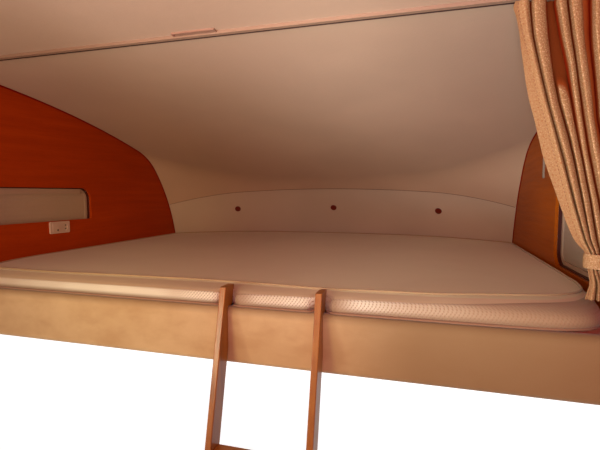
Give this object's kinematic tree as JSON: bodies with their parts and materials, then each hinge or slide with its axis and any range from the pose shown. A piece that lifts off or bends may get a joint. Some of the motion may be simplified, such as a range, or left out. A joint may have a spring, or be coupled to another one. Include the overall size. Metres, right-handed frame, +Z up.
{
  "type": "over-cab sleeping alcove of a motorhome",
  "caption": "Sleeping alcove over a motorhome's cab: bowed roof and nose shell, lined and panelled inside, with a bed, fascia, curtain, side windows and a lift-off ladder.",
  "frame": {"origin": "on the underside of the alcove floor, midway between the walls, below the open edge of the bed", "axes": "+X to the right across the vehicle, +Y forwards towards the nose, +Z up"},
  "size_m": [2.1966, 2.2773, 2.1575],
  "materials": {
    "shell_white": "smooth glossy outer skin of the sandwich",
    "lining": "smooth beige lining with a soft sheen",
    "cap_brown": "dark red-brown push-in caps",
    "cherry_left": "satin cherry wood grain, runs fore and aft",
    "edge_trim": "dark red edge strip",
    "moulding": "white edge moulding",
    "window_frame": "black moulded frame",
    "window_pane": "tinted acrylic",
    "blind": "beige pleated blind in cream rails",
    "floor_board": "sandwich floor",
    "timber": "plain pale timber",
    "mattress_cloth": "beige knit with a quilted border and cream piping",
    "suede": "tan suede-like cover",
    "track": "pale profile",
    "curtain_cloth": "orange-tan cloth with a speckled weave",
    "cream_plastic": "cream moulded plastic",
    "lamp_metal": "satin metal",
    "marker_lens": "clear lens",
    "ladder_wood": "orange-brown lacquered wood",
    "rubber": "black rubber",
    "hook_steel": "bent steel plate"
  },
  "bodies": {
    "root": {"nose_shell": "shell_white", "ceiling_lining": "lining", "nose_lining": "lining", "lining_caps": "cap_brown", "side_wall_left": "shell_white", "side_wall_right": "shell_white", "side_panel_left": "cherry_left", "side_panel_right": "cherry_left", "panel_trim_left": "edge_trim", "panel_trim_right": "edge_trim", "corner_moulding_left": "moulding", "corner_moulding_right": "moulding", "nose_skirt": "moulding", "window_frame_left": "window_frame", "window_frame_right": "window_frame", "window_pane_left": "window_pane", "window_pane_right": "window_pane", "window_blind_left": "blind", "window_blind_right": "blind", "alcove_floor": "floor_board", "bed_frame": "timber", "bed_deck": "timber", "mattress": "mattress_cloth", "fascia": "suede", "curtain_track": "track", "track_joint": "track", "curtain": "curtain_cloth", "curtain_tieback": "curtain_cloth", "tieback_hook": "lamp_metal", "reading_lamp": "lamp_metal", "switch_plate": "cream_plastic", "marker_lamps": "marker_lens"},
    "ladder": {"ladder_rail_left": "ladder_wood", "ladder_rail_right": "ladder_wood", "ladder_treads": "ladder_wood", "ladder_shoes": "rubber", "ladder_hooks": "hook_steel"}
  },
  "joints": [
    {"name": "ladder_lift", "type": "slide", "parent": "root", "child": "ladder", "axis": [0, 0, 1], "range_m": [0, 0.15]}
  ]
}
